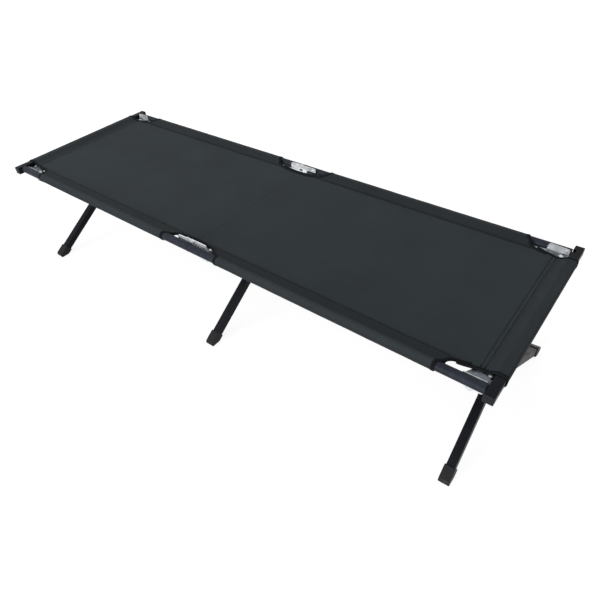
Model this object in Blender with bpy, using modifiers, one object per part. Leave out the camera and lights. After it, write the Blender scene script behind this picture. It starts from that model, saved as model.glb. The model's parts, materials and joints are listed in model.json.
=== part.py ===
"""Folding camping cot: split side rails, three crossed leg pairs, two end bars and a stretched fabric bed.

Metres, +Z up. X runs along the bed (head at -X), Y across it (near side at -Y). The origin is on the
floor under the middle. Signs: END is -1 at the head and +1 at the foot, SIDE is -1 near and +1 far.
"""

import math

import bmesh
import bpy
from mathutils import Matrix, Vector

# Driving dimensions of the whole cot
LENGTH = 1.900
BAR_LENGTH = 0.626
RAILS_OUTSIDE = 0.600
RAIL_TOP = 0.420

# Tubes
RAIL_R = 0.0125
RAIL_WALL = 0.0012
BAR = 0.025
BAR_WALL = 0.0015
LEG = 0.025
LEG_WALL = 0.0012
CORNER = 0.0025

# Clearances
GAP = 0.0003
RAIL_TO_BAR = 0.0018

# Side rails
RAIL_Y = RAILS_OUTSIDE / 2 - RAIL_R
RAIL_Z = RAIL_TOP - RAIL_R
RAIL_INNER = RAIL_Y - RAIL_R
BAR_X = LENGTH / 2 - BAR / 2
RAIL_END = LENGTH / 2 - BAR - RAIL_TO_BAR
SPLIT = 0.0005

# End bars and the studs that carry them
STUD_R = 0.004
STUD_TIP = LENGTH / 2 - 0.018
BAR_HOLE_R = 0.0048
SLOT_PLAY = 0.0065
CAP_HEAD = 0.003
PLUG_DEPTH = 0.022

# Length fold: hinge pin above the rail tops, so that the two fabric halves can lie together
HINGE_Z = 0.4225
HINGE_R = 0.0025
LEAF_T = 0.0024
BRACKET_T = 0.0020
PLATE_TOP = 0.428
PLATE_BOTTOM = 0.398
END_PLATE_Y = RAIL_INNER - GAP
LEAF_INNER = RAIL_INNER - GAP - LEAF_T
HINGE_PLATE_Y = LEAF_INNER - GAP
SHELF_T = 0.0016
SHELF_Z = 0.4053

# Leg pairs
PIN_Y = 0.2545
PIN_Z = 0.372
FOOT_Y = 0.300
PAIR_OFFSET = 0.0145
END_PAIR_X = 0.8845
MID_PAIR_X = 0.0205
END_RAKE = math.atan(0.020 / PIN_Z)
LEG_ANGLE = math.atan2(PIN_Y + FOOT_Y, PIN_Z)
UPPER = PIN_Y / math.sin(LEG_ANGLE)
PIN_R = 0.0035
CROSS_R = 0.004
EAR_T = 0.0020
EAR_R = 0.0095
EAR_INSIDE = LEG / 2 + GAP
WEB_Y = PIN_Y + LEG / 2 + 0.002

# Foot caps: how far they reach up and down the leg from the floor's point, and the sole under the tube
CAP_WALL = 0.0032
CAP_UP = 0.046
CAP_TOE = 0.004
TOE_R = 0.010
SOLE = 0.004
TUBE_END = (SOLE + LEG / 2 * math.sin(LEG_ANGLE)) / math.cos(LEG_ANGLE)

# Fabric
CLOTH = 0.0012
SLEEVE_R = RAIL_R + GAP
SEAM_Y = 0.2450
SEAM_Z = 0.4105
SLEEVE_START = 0.113
SLEEVE_END = 0.806
END_SEAM_X = 0.8910
SAG = 0.008

# The fabric's cut-outs: a round inner corner and a straight edge at each notch, a scallop at each hinge
MOUTH_Y = 0.2720
NOTCH_START = 0.820
NOTCH_R = 0.022
NOTCH_Y = 0.2535
NOTCH_SLOPE = 0.270
END_HALF_WIDTH = 0.2400
SCALLOP_Y = 0.2452
SCALLOP_CURVE = 1.8

SIDES = {"near": -1, "far": 1}
ENDS = {"head": -1, "foot": 1}


def clear_scene():
    for thing in list(bpy.data.objects):
        bpy.data.objects.remove(thing, do_unlink=True)


def collection(name):
    made = bpy.data.collections.new(name)
    bpy.context.scene.collection.children.link(made)
    return made


def material(name, colour, roughness, metallic=0.0):
    made = bpy.data.materials.new(name)
    made.use_nodes = True
    shader = made.node_tree.nodes["Principled BSDF"]
    shader.inputs["Base Color"].default_value = (*colour, 1.0)
    shader.inputs["Roughness"].default_value = roughness
    shader.inputs["Metallic"].default_value = metallic
    return made


clear_scene()
PARTS = collection("camping_cot")
CUTTERS = collection("cutters")
RAIL_PAINT = material("rail_paint", (0.055, 0.055, 0.065), 0.45, 0.2)
LEG_PAINT = material("leg_paint", (0.016, 0.019, 0.026), 0.4, 0.2)
BRIGHT_STEEL = material("bright_steel", (0.62, 0.64, 0.67), 0.35, 1.0)
BLACK_PLASTIC = material("black_plastic", (0.014, 0.015, 0.017), 0.5)
FABRIC = material("fabric", (0.030, 0.037, 0.041), 0.85)


def link(name, mesh, matrix=None):
    made = bpy.data.objects.new(name, mesh)
    CUTTERS.objects.link(made)
    made.hide_render = True
    made.display_type = "WIRE"
    if matrix is not None:
        made.matrix_world = matrix
    return made


def mesh_from(build):
    """A mesh filled by build(bm)."""
    mesh = bpy.data.meshes.new("shape")
    bm = bmesh.new()
    build(bm)
    bmesh.ops.recalc_face_normals(bm, faces=bm.faces)
    bm.to_mesh(mesh)
    bm.free()
    return mesh


def box(name, low, high, matrix=None):
    """A box between two corners of the frame that matrix gives."""
    low, high = Vector(low), Vector(high)
    size = high - low
    where = Matrix.Translation((low + high) / 2) @ Matrix.Diagonal((*size, 1.0))
    return link(name, mesh_from(lambda bm: bmesh.ops.create_cube(bm, size=1.0, matrix=where)), matrix)


def rod(name, start, end, radius, matrix=None, end_radius=None, sides=20):
    """A round rod, or a cone where end_radius differs, between two points."""
    start, end = Vector(start), Vector(end)
    turn = (end - start).to_track_quat("Z", "Y").to_matrix().to_4x4()
    where = Matrix.Translation((start + end) / 2) @ turn
    far_radius = radius if end_radius is None else end_radius

    def build(bm):
        bmesh.ops.create_cone(
            bm,
            cap_ends=True,
            segments=sides,
            radius1=radius,
            radius2=far_radius,
            depth=(end - start).length,
            matrix=where,
        )

    return link(name, mesh_from(build), matrix)


def outline_solid(name, loops, low, high, axis, matrix=None):
    """A flat outline, with any holes as further loops, extruded from low to high along one axis.

    The loops hold (x, z) along Y, (y, z) along X and (x, y) along Z.
    """
    curve = bpy.data.curves.new(name + "_outline", "CURVE")
    curve.dimensions = "2D"
    curve.fill_mode = "BOTH"
    curve.extrude = (high - low) / 2
    for loop in loops:
        spline = curve.splines.new("POLY")
        spline.points.add(len(loop) - 1)
        spline.use_cyclic_u = True
        for point, (a, b) in zip(spline.points, loop):
            point.co = (a, b, 0.0, 1.0)
    guide = bpy.data.objects.new(name + "_outline", curve)
    CUTTERS.objects.link(guide)
    bpy.context.view_layer.update()
    graph = bpy.context.evaluated_depsgraph_get()
    mesh = bpy.data.meshes.new_from_object(guide.evaluated_get(graph))
    bpy.data.objects.remove(guide, do_unlink=True)
    middle = (low + high) / 2
    places = {
        "X": Matrix(((0, 0, 1, middle), (1, 0, 0, 0), (0, 1, 0, 0), (0, 0, 0, 1))),
        "Y": Matrix(((1, 0, 0, 0), (0, 0, -1, middle), (0, 1, 0, 0), (0, 0, 0, 1))),
        "Z": Matrix.Translation((0, 0, middle)),
    }
    place = places[axis]
    bm = bmesh.new()
    bm.from_mesh(mesh)
    bmesh.ops.remove_doubles(bm, verts=bm.verts, dist=1e-5)
    bmesh.ops.transform(bm, matrix=place, verts=bm.verts)
    bmesh.ops.recalc_face_normals(bm, faces=bm.faces)
    bm.to_mesh(mesh)
    bm.free()
    return link(name, mesh, matrix)


def arc(centre, radius, start, end, steps):
    """Points on an arc, from one angle to another in degrees."""
    points = []
    for step in range(steps + 1):
        angle = math.radians(start + (end - start) * step / steps)
        points.append((centre[0] + radius * math.cos(angle), centre[1] + radius * math.sin(angle)))
    return points


def change(target, tool, operation):
    modifier = target.modifiers.new(operation.lower(), "BOOLEAN")
    modifier.operation = operation
    modifier.object = tool
    modifier.solver = "EXACT"


def join(target, *tools):
    for tool in tools:
        change(target, tool, "UNION")


def cut(target, *tools):
    for tool in tools:
        change(target, tool, "DIFFERENCE")


def soften(target, width, segments=2, angle=40):
    bevel = target.modifiers.new("softened_edges", "BEVEL")
    bevel.width = width
    bevel.segments = segments
    bevel.limit_method = "ANGLE"
    bevel.angle_limit = math.radians(angle)
    bevel.use_clamp_overlap = True


def part(shape, name, finish, parent=None):
    """Turns a shape into a named part of the cot, riding on its joint's empty."""
    CUTTERS.objects.unlink(shape)
    PARTS.objects.link(shape)
    shape.name = name
    shape.hide_render = False
    shape.display_type = "TEXTURED"
    shape.data.materials.clear()
    shape.data.materials.append(finish)
    shape.data.shade_smooth()
    shape.data.set_sharp_from_angle(angle=math.radians(35))
    if parent is not None:
        shape.parent = parent
        shape.matrix_parent_inverse = parent.matrix_world.inverted()
    return shape


def axis_empty(name, matrix, parent=None):
    """An empty on a joint's axis."""
    made = bpy.data.objects.new(name, None)
    CUTTERS.objects.link(made)
    made.empty_display_size = 0.03
    made.matrix_world = matrix
    bpy.context.view_layer.update()
    if parent is not None:
        world = made.matrix_world.copy()
        made.parent = parent
        made.matrix_parent_inverse = parent.matrix_world.inverted()
        made.matrix_world = world
        bpy.context.view_layer.update()
    return made


def rail(name, end, side, parent):
    """A half rail: an open round tube."""
    start, stop = end * SPLIT, end * RAIL_END
    where = Matrix.Translation(((start + stop) / 2, side * RAIL_Y, RAIL_Z)) @ Matrix.Rotation(math.pi / 2, 4, "Y")

    def build(bm):
        bmesh.ops.create_cone(
            bm,
            cap_ends=False,
            segments=32,
            radius1=RAIL_R,
            radius2=RAIL_R,
            depth=abs(stop - start),
            matrix=where,
        )

    shape = link(name, mesh_from(build))
    wall = shape.modifiers.new("wall", "SOLIDIFY")
    wall.thickness = RAIL_WALL
    wall.offset = -1
    return part(shape, name, RAIL_PAINT, parent)


def rail_plug(name, end, side, parent):
    """A turned plug in the rail's end, with the stud that carries the end bar."""
    inside = RAIL_R - RAIL_WALL - GAP
    profile = (
        (0.0, 0.0),
        (inside - 0.001, 0.0),
        (inside, 0.001),
        (inside, PLUG_DEPTH),
        (STUD_R, PLUG_DEPTH),
        (STUD_R, PLUG_DEPTH + STUD_TIP - RAIL_END - 0.001),
        (STUD_R - 0.001, PLUG_DEPTH + STUD_TIP - RAIL_END),
        (0.0, PLUG_DEPTH + STUD_TIP - RAIL_END),
    )
    mesh = bpy.data.meshes.new(name)
    points = [(radius, 0.0, height) for radius, height in reversed(profile)]
    mesh.from_pydata(points, [(i, i + 1) for i in range(len(points) - 1)], [])
    root = end * (RAIL_END - PLUG_DEPTH)
    turn = Matrix.Rotation(end * math.pi / 2, 4, "Y")
    shape = link(name, mesh, Matrix.Translation((root, side * RAIL_Y, RAIL_Z)) @ turn)
    screw = shape.modifiers.new("turned", "SCREW")
    screw.axis = "Z"
    screw.steps = 20
    screw.render_steps = 20
    screw.use_merge_vertices = True
    screw.merge_threshold = 0.0001
    return part(shape, name, BLACK_PLASTIC, parent)


def plate_y(side, inner, thickness):
    """(low, high) in Y of a plate whose rail side face is at this distance from the middle."""
    return tuple(sorted((side * inner, side * (inner - thickness))))


def rivet(name, x, z, side, y, out, radius=0.0045, height=0.0018):
    """A domed rivet head that starts inside its plate; out is the way it points along Y."""
    base = (x, side * y, z)
    tip = (x, side * y + out * height, z)
    return rod(name, base, tip, radius, end_radius=radius * 0.55, sides=14)


def shelf(name, end, side, root_y, points):
    """The thin horizontal flange on a bracket, from (x, distance inboard of root_y) points."""
    outline = [(end * x, y) for x, y in points]
    lying = outline_solid(name, [outline], -SHELF_T / 2, SHELF_T / 2, "Y")
    lying.matrix_world = Matrix.Translation((0, side * root_y, SHELF_Z)) @ Matrix.Rotation(side * math.pi / 2, 4, "X")
    return lying


def end_bracket(name, end, side, parent):
    """The corner bracket: a plate on the rail's inner side with a notch, a shelf and the swivel's eye."""
    x0, x1 = 0.862, 0.9215
    eye = (END_PAIR_X, PIN_Z)
    outline = [(x0, PLATE_BOTTOM + 0.003), (x0 + 0.001, PLATE_TOP - 0.008)]
    outline += arc((x0 + 0.009, PLATE_TOP - 0.008), 0.008, 180, 90, 4)
    outline += arc((x1 - 0.005, PLATE_TOP - 0.007), 0.005, 90, 0, 3)
    outline += [(x1, PLATE_BOTTOM + 0.005)]
    outline += arc((x1 - 0.0135, PLATE_BOTTOM - 0.001), 0.0115, 35, 180, 7)
    outline += [(eye[0] + 0.0105, eye[1] + 0.006)]
    outline += arc(eye, 0.0105, 20, -200, 10)
    outline += [(eye[0] - 0.0105, PLATE_BOTTOM - 0.004)]
    hole = arc(eye, STUD_R + 0.0004, 0, 330, 11)
    loops = [[(end * x, z) for x, z in loop] for loop in (outline, hole)]
    low, high = plate_y(side, END_PLATE_Y, BRACKET_T)
    body = outline_solid(name, loops, low, high, "Y")
    tongue = ((0.8580, 0.0), (0.9185, 0.0), (0.9175, 0.0285), (0.9090, 0.0340), (0.8860, 0.0340), (0.8640, 0.0090))
    tongue += ((0.8440, 0.0060), (0.8440, 0.0020))
    flange = shelf(name + "_shelf", end, side, END_PLATE_Y - 0.0012, tongue)
    head = rivet(name + "_rivet", end * 0.913, 0.4185, side, END_PLATE_Y - BRACKET_T + 0.0004, -side)
    join(body, flange, head)
    return part(body, name, BRIGHT_STEEL, parent)


def hinge_leaf(name, side, back, parent):
    """The head half's hinge leaf, flat against the rail, with an eye round the pin."""
    bottom, top = 0.4015, HINGE_Z + 0.0040
    outline = arc((back + 0.008, bottom + 0.008), 0.008, 270, 180, 4)
    outline += arc((back + 0.008, top - 0.008), 0.008, 180, 90, 4)
    outline += arc((0.0, HINGE_Z), 0.0075, 60, -120, 9)
    outline += [(-0.018, bottom)]
    hole = arc((0.0, HINGE_Z), HINGE_R + 0.0003, 0, 330, 11)
    low, high = plate_y(side, RAIL_INNER - GAP, LEAF_T)
    body = outline_solid(name, [outline, hole], low, high, "Y")
    return part(body, name, BRIGHT_STEEL, parent)


def hinge_bracket(name, side, leg_x, x0, x1, parent):
    """The middle bracket on the foot half: it spans the split, carries the hinge pin and the mid leg."""
    ear = EAR_INSIDE + EAR_T + 0.0008
    outline = [(x0, PLATE_BOTTOM + 0.004)]
    outline += arc((x0 + 0.008, PLATE_TOP - 0.008), 0.008, 180, 90, 4)
    outline += arc((x1 - 0.006, PLATE_TOP - 0.006), 0.006, 90, 0, 3)
    outline += [(x1, PLATE_BOTTOM + 0.006), (x1 - 0.004, PLATE_BOTTOM), (leg_x + ear, PLATE_BOTTOM - 0.0012)]
    outline += [(leg_x + ear, PIN_Z - 0.008), (leg_x + ear - 0.003, PIN_Z - 0.011)]
    outline += [(leg_x - ear + 0.003, PIN_Z - 0.011), (leg_x - ear, PIN_Z - 0.008)]
    outline += [(leg_x - ear, PLATE_BOTTOM - 0.0016), (x0 + 0.010, PLATE_BOTTOM)]
    hole = arc((0.0, HINGE_Z), HINGE_R + 0.0003, 0, 330, 11)
    low, high = plate_y(side, HINGE_PLATE_Y, BRACKET_T)
    body = outline_solid(name, [outline, hole], low, high, "Y")
    for sign in (-1, 1):
        join(body, ear_plate(name + "_ear", leg_x + sign * (EAR_INSIDE + EAR_T / 2), side, HINGE_PLATE_Y - 0.001))
    tongue = ((x0 + 0.012, 0.0), (x1 - 0.0045, 0.0), (leg_x + ear - 0.003, 0.0235), (leg_x - ear, 0.0235))
    tongue += ((x0 - 0.006, 0.0150), (x0 - 0.030, 0.008), (x0 - 0.034, 0.0045))
    flange = shelf(name + "_shelf", 1, side, HINGE_PLATE_Y - 0.0014, tongue)
    boss = rod(
        name + "_boss",
        (x1 - 0.012, side * (HINGE_PLATE_Y - 0.0009), RAIL_Z),
        (x1 - 0.012, side * (RAIL_INNER - GAP), RAIL_Z),
        0.006,
        sides=16,
    )
    head = rivet(name + "_rivet", x1 - 0.012, RAIL_Z + 0.004, side, LEAF_INNER - BRACKET_T, -side)
    join(body, flange, boss, head)
    return part(body, name, BRIGHT_STEEL, parent)


def ear_plate(name, x, side, root_y):
    """One ear of a clevis, square to X: it runs from the web to a round end about the leg's pin."""
    inboard = arc((0.0, PIN_Z), EAR_R, 90, 270, 8)
    outline = [(side * (y + PIN_Y), z) for y, z in inboard]
    outline += [(side * root_y, PIN_Z - EAR_R), (side * root_y, PIN_Z + EAR_R)]
    hole = [(side * PIN_Y + y, z) for y, z in arc((0.0, PIN_Z), PIN_R + 0.0002, 0, 330, 11)]
    return outline_solid(name, [outline, hole], x - EAR_T / 2, x + EAR_T / 2, "X")


def hinge_pin(name, side, parent):
    inner = HINGE_PLATE_Y - BRACKET_T
    shaft = rod(name, (0, side * (inner - 0.001), HINGE_Z), (0, side * (RAIL_INNER + 0.001), HINGE_Z), HINGE_R)
    inside = (0, side * (inner - GAP - 0.0022), HINGE_Z)
    heads = (
        rod(name + "_head", (0, side * (inner - GAP), HINGE_Z), inside, 0.0046, end_radius=0.0030, sides=16),
        rod(
            name + "_tail",
            (0, side * (RAIL_INNER + GAP), HINGE_Z),
            (0, side * (RAIL_INNER + 0.0018), HINGE_Z),
            0.0040,
            sides=16,
        ),
    )
    join(shaft, *heads)
    return part(shaft, name, BRIGHT_STEEL, parent)


def pair_frame(x, rake):
    """The frame of a leg pair: origin on the swing axis at pin height, raked about Y."""
    return Matrix.Translation((x, 0, PIN_Z)) @ Matrix.Rotation(-rake, 4, "Y")


def leg_frame(frame, offset, side, angle):
    """The frame of one leg: origin on its top pin, the leg running down its own -Z."""
    return frame @ Matrix.Translation((offset, side * PIN_Y, 0)) @ Matrix.Rotation(-side * angle, 4, "X")


def floor_cutter():
    return box("floor_cut", (-1.2, -0.5, -0.2), (1.2, 0.5, 0.0))


def leg(name, where, length, parent):
    """A square tube with a rounded, closed top round its pin and an open foot inside its cap."""
    half = LEG / 2
    outline = arc((0.0, 0.0), half, 0, 180, 10) + [(-half, TUBE_END - length), (half, TUBE_END - length)]
    body = outline_solid(name, [outline], -half, half, "X", where)
    soften(body, CORNER)
    inner = half - LEG_WALL
    bore = box(name + "_bore", (-inner, -inner, -length - 0.06), (inner, inner, -0.012), where)
    through = 0.03
    pin_hole = rod(name + "_pin_hole", (-through, 0, 0), (through, 0, 0), PIN_R + GAP, where)
    cross = rod(name + "_cross_hole", (-through, 0, -UPPER), (through, 0, -UPPER), CROSS_R + GAP, where)
    cut(body, bore, pin_hole, cross)
    return part(body, name, LEG_PAINT, parent)


def foot_cap(name, where, length, side, parent):
    """A boot over the leg's foot, with a rounded toe and a flat sole. Its leg hangs from this side's rail."""
    outer = LEG / 2 + CAP_WALL
    end, top = -length - CAP_TOE, -length + CAP_UP
    outline = [(-outer, top), (-outer, end)] + arc((outer - TOE_R, end + TOE_R), TOE_R, -90, 0, 3) + [(outer, top)]
    body = outline_solid(name, [[(-side * y, z) for y, z in outline]], -outer, outer, "X", where)
    soften(body, 0.003, segments=1)
    inner = LEG / 2 + GAP
    socket = box(name + "_socket", (-inner, -inner, TUBE_END - length - GAP), (inner, inner, top + 0.01), where)
    cut(body, socket, floor_cutter())
    return part(body, name, BLACK_PLASTIC, parent)


def cross_pin(name, frame, drop, parent):
    """The pin at the crossing, with the washer that keeps the two legs apart."""
    out = PAIR_OFFSET + LEG / 2
    where = frame @ Matrix.Translation((0, 0, -drop))
    shaft = rod(name, (-out - 0.001, 0, 0), (out + 0.001, 0, 0), CROSS_R, where)
    washer = PAIR_OFFSET - LEG / 2 - GAP
    pieces = [rod(name + "_washer", (-washer, 0, 0), (washer, 0, 0), 0.009, where)]
    for sign in (-1, 1):
        head = rod(
            name + "_head",
            (sign * (out + GAP), 0, 0),
            (sign * (out + 0.0026), 0, 0),
            0.0072,
            where,
            end_radius=0.0048,
        )
        pieces.append(head)
    join(shaft, *pieces)
    return part(shaft, name, BRIGHT_STEEL, parent)


def leg_pin(name, where, parent):
    """The pin through the two ears and the leg's top."""
    out = EAR_INSIDE + EAR_T
    shaft = rod(name, (-out - 0.001, 0, 0), (out + 0.001, 0, 0), PIN_R - 0.0002, where)
    for sign in (-1, 1):
        head = rod(
            name + "_head",
            (sign * (out + GAP), 0, 0),
            (sign * (out + 0.0020), 0, 0),
            0.0058,
            where,
            end_radius=0.0040,
            sides=16,
        )
        join(shaft, head)
    return part(shaft, name, BRIGHT_STEEL, parent)


def swivel(name, frame, offset, side, parent):
    """The clevis that holds an end leg's top and turns on a stud through the corner bracket."""
    ear = EAR_INSIDE + EAR_T
    low, high = plate_y(side, WEB_Y + BRACKET_T, BRACKET_T)
    stretch = sorted((0.0, offset))
    web = box(name, (stretch[0] - ear + 0.002, low, -EAR_R), (stretch[1] + ear - 0.002, high, EAR_R), frame)
    for sign in (-1, 1):
        x = offset + sign * (EAR_INSIDE + EAR_T / 2)
        plate = ear_plate(name + "_ear", x, side, WEB_Y + BRACKET_T - 0.0005)
        plate.matrix_world = frame @ Matrix.Translation((0, 0, -PIN_Z))
        join(web, plate)
    outer = END_PLATE_Y + GAP
    stud = rod(name + "_stud", (0, side * (WEB_Y + 0.001), 0), (0, side * (outer + 0.001), 0), STUD_R, frame)
    head = rod(
        name + "_stud_head",
        (0, side * outer, 0),
        (0, side * (outer + 0.002), 0),
        0.0065,
        frame,
        end_radius=0.0045,
    )
    join(web, stud, head)
    return part(web, name, BRIGHT_STEEL, parent)


def end_bar(name, end, parent):
    """A square tube across the rails' ends: a round hole for the near stud, an open slot for the far one."""
    half = BAR / 2
    reach = BAR_LENGTH / 2 - CAP_HEAD - GAP
    centre = end * BAR_X
    body = box(name, (centre - half, -reach, RAIL_TOP - BAR), (centre + half, reach, RAIL_TOP))
    soften(body, CORNER)
    inner = half - BAR_WALL
    middle = RAIL_TOP - half
    bore = box(name + "_bore", (centre - inner, -1, middle - inner), (centre + inner, 1, middle + inner))
    face = end * (BAR_X - half)
    near_hole = rod(
        name + "_hole",
        (face - end * 0.01, -RAIL_Y, RAIL_Z),
        (face + end * 0.006, -RAIL_Y, RAIL_Z),
        BAR_HOLE_R,
    )
    depths = sorted((face - end * 0.01, end * (STUD_TIP + 0.0015)))
    slot_low = (depths[0], RAIL_Y - STUD_R - SLOT_PLAY, RAIL_Z - STUD_R - 0.0006)
    slot_high = (depths[1], RAIL_Y + STUD_R + 0.0006, RAIL_TOP + 0.01)
    cut(body, bore, near_hole, box(name + "_slot", slot_low, slot_high))
    return part(body, name, LEG_PAINT, parent)


def bar_cap(name, end, side, parent):
    """The plastic cap in one end of an end bar."""
    half = BAR / 2
    centre = end * BAR_X
    middle = RAIL_TOP - half
    head_y = sorted((side * (BAR_LENGTH / 2 - CAP_HEAD), side * BAR_LENGTH / 2))
    body = box(name, (centre - half, head_y[0], middle - half), (centre + half, head_y[1], middle + half))
    soften(body, 0.0014)
    inner = half - BAR_WALL - GAP
    insert_y = sorted((side * (BAR_LENGTH / 2 - CAP_HEAD - 0.016), side * (BAR_LENGTH / 2 - 0.001)))
    insert_low = (centre - inner, insert_y[0], middle - inner)
    insert_high = (centre + inner, insert_y[1], middle + inner)
    join(body, box(name + "_insert", insert_low, insert_high))
    return part(body, name, BLACK_PLASTIC, parent)


def notch_edge(x):
    """The fabric's edge at a corner notch: a quarter round at the sleeve's mouth, then a straight line."""
    past = max(x - NOTCH_START, 0.0)
    if past < NOTCH_R:
        return MOUTH_Y - (MOUTH_Y - NOTCH_Y) * math.sqrt(1.0 - (1.0 - past / NOTCH_R) ** 2)
    return NOTCH_Y - NOTCH_SLOPE * (past - NOTCH_R)


def scallop_edge(x):
    """The fabric's edge at the hinge: a scallop that ends square at the sleeve's mouth."""
    share = max(1.0 - (x / SLEEVE_START) ** SCALLOP_CURVE, 0.0) ** (1.0 / SCALLOP_CURVE)
    return MOUTH_Y - (MOUTH_Y - SCALLOP_Y) * share


def sleeve_cutter(name, end, side, places, edge, past):
    """Takes a sleeve away beyond one of its mouths, along the cut-out's edge."""
    outline = [(x, edge(x)) for x in places]
    outline += [(past, outline[-1][1] - 0.01), (past, 0.35), (places[0], 0.35)]
    loop = [(end * x, side * y) for x, y in outline]
    return outline_solid(name, [loop], SEAM_Z - 0.04, SEAM_Z + 0.03, "Z")


def side_sleeve(name, end, side, parent):
    """The fabric round a half rail, with the hem that runs down to the side seam."""
    outer = SLEEVE_R + CLOTH
    centre = (RAIL_Y, RAIL_Z)
    outline = [(SEAM_Y + GAP, SEAM_Z + CLOTH / 2)]
    outline += arc(centre, outer, 100, -200, 20)
    outline += [(SEAM_Y + GAP, SEAM_Z - CLOTH / 2)]
    hole = arc(centre, SLEEVE_R, 0, 340, 17)
    loops = [[(side * y, z) for y, z in loop] for loop in (outline, hole)]
    hem_start, hem_end = 0.045, 0.860
    low, high = sorted((end * hem_start, end * hem_end))
    body = outline_solid(name, loops, low, high, "X")
    scallop = [SLEEVE_START * share for share in (1.0, 0.98, 0.91, 0.80, 0.66, 0.42)]
    notch = [SLEEVE_END] + [NOTCH_START + NOTCH_R * share for share in (0.0, 0.06, 0.25, 0.55, 1.0, 2.0)]
    cut(body, sleeve_cutter(name + "_scallop", end, side, scallop, scallop_edge, hem_start - 0.01))
    cut(body, sleeve_cutter(name + "_notch", end, side, notch, notch_edge, hem_end + 0.01))
    return part(body, name, FABRIC, parent)


def panel_height(x, y):
    """The sheet's height: level along its seams, with a slight sag between them that fades at the ends."""
    along = 1.0 - (abs(x) / END_SEAM_X) ** 4
    across = 1.0 - (y / SEAM_Y) ** 2
    return SEAM_Z - SAG * along * across


def panel_edge(x):
    """Half the bed panel's width: up to the side seams, and less where a cut-out reaches past them."""
    cut_out = scallop_edge(x) if x < SLEEVE_START else MOUTH_Y
    if x > SLEEVE_END:
        cut_out = notch_edge(x)
    return min(SEAM_Y - GAP, cut_out)


def bed_panel(name, end, parent):
    """Half of the stretched bed sheet between the seams."""
    stations = (SPLIT, 0.028, 0.052, 0.18, 0.33, 0.49, 0.65, 0.77, 0.8745, END_SEAM_X - GAP)
    rows = 10

    def build(bm):
        bmesh.ops.create_grid(bm, x_segments=len(stations) - 1, y_segments=rows, size=1.0)
        for vertex in bm.verts:
            x = stations[round((vertex.co.x + 1) / 2 * (len(stations) - 1))]
            y = panel_edge(x) * vertex.co.y
            vertex.co = (end * x, y, panel_height(x, y))

    shape = link(name, mesh_from(build))
    cloth = shape.modifiers.new("cloth", "SOLIDIFY")
    cloth.thickness = CLOTH
    cloth.offset = 0
    return part(shape, name, FABRIC, parent)


def end_sleeve(name, end, parent):
    """The fabric round an end bar, with the hem that runs down to the end seam."""
    half = BAR / 2 + GAP
    outer = half + CLOTH
    middle = RAIL_TOP - BAR / 2
    inside, outside = BAR_X - outer, BAR_X + outer
    r = 0.003
    outline = [(END_SEAM_X + GAP, SEAM_Z + CLOTH / 2), (inside + 0.004, middle + outer)]
    outline += arc((outside - r, middle + outer - r), r, 90, 0, 3)
    outline += arc((outside - r, middle - outer + r), r, 0, -90, 3)
    outline += arc((inside + r, middle - outer + r), r, 270, 180, 3)
    outline += [(inside, SEAM_Z + 0.0008), (END_SEAM_X + GAP, SEAM_Z - CLOTH / 2)]
    hole = [(BAR_X - half, middle - half), (BAR_X + half, middle - half)]
    hole += [(BAR_X + half, middle + half), (BAR_X - half, middle + half)]
    loops = [[(end * x, z) for x, z in loop] for loop in (outline, hole)]
    body = outline_solid(name, loops, -END_HALF_WIDTH, END_HALF_WIDTH, "Y")
    return part(body, name, FABRIC, parent)


def leg_pair(place, x, rake, parents):
    """Two crossed legs with their pins and caps. Leg a hangs from the near rail, leg b from the far one."""
    near_holder, far_holder = parents
    frame = pair_frame(x, rake)
    length = PIN_Z / math.cos(rake) / math.cos(LEG_ANGLE)
    drop = UPPER * math.cos(LEG_ANGLE)
    a_frame = leg_frame(frame, PAIR_OFFSET, -1, LEG_ANGLE)
    b_frame = leg_frame(frame, -PAIR_OFFSET, 1, LEG_ANGLE)
    a_axis = axis_empty("axis_leg_a_" + place, a_frame, near_holder)
    b_axis = axis_empty("axis_leg_b_" + place, frame @ Matrix.Translation((0, 0, -drop)), a_axis)
    leg("leg_a_" + place, a_frame, length, a_axis)
    leg("leg_b_" + place, b_frame, length, b_axis)
    foot_cap("foot_cap_a_" + place, a_frame, length, -1, a_axis)
    foot_cap("foot_cap_b_" + place, b_frame, length, 1, b_axis)
    cross_pin("cross_pin_" + place, frame, drop, a_axis)
    leg_pin("leg_pin_a_" + place, a_frame, near_holder)
    leg_pin("leg_pin_b_" + place, frame @ Matrix.Translation((-PAIR_OFFSET, PIN_Y, 0)), far_holder)
    return b_axis


def rail_set(end_name, side_name, parent):
    """What sits on one half rail at every corner."""
    end, side = ENDS[end_name], SIDES[side_name]
    tail = f"{end_name}_{side_name}"
    rail("rail_" + tail, end, side, parent)
    rail_plug("rail_plug_" + tail, end, side, parent)
    end_bracket("end_bracket_" + tail, end, side, parent)
    side_sleeve("side_sleeve_" + tail, end, side, parent)


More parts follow.
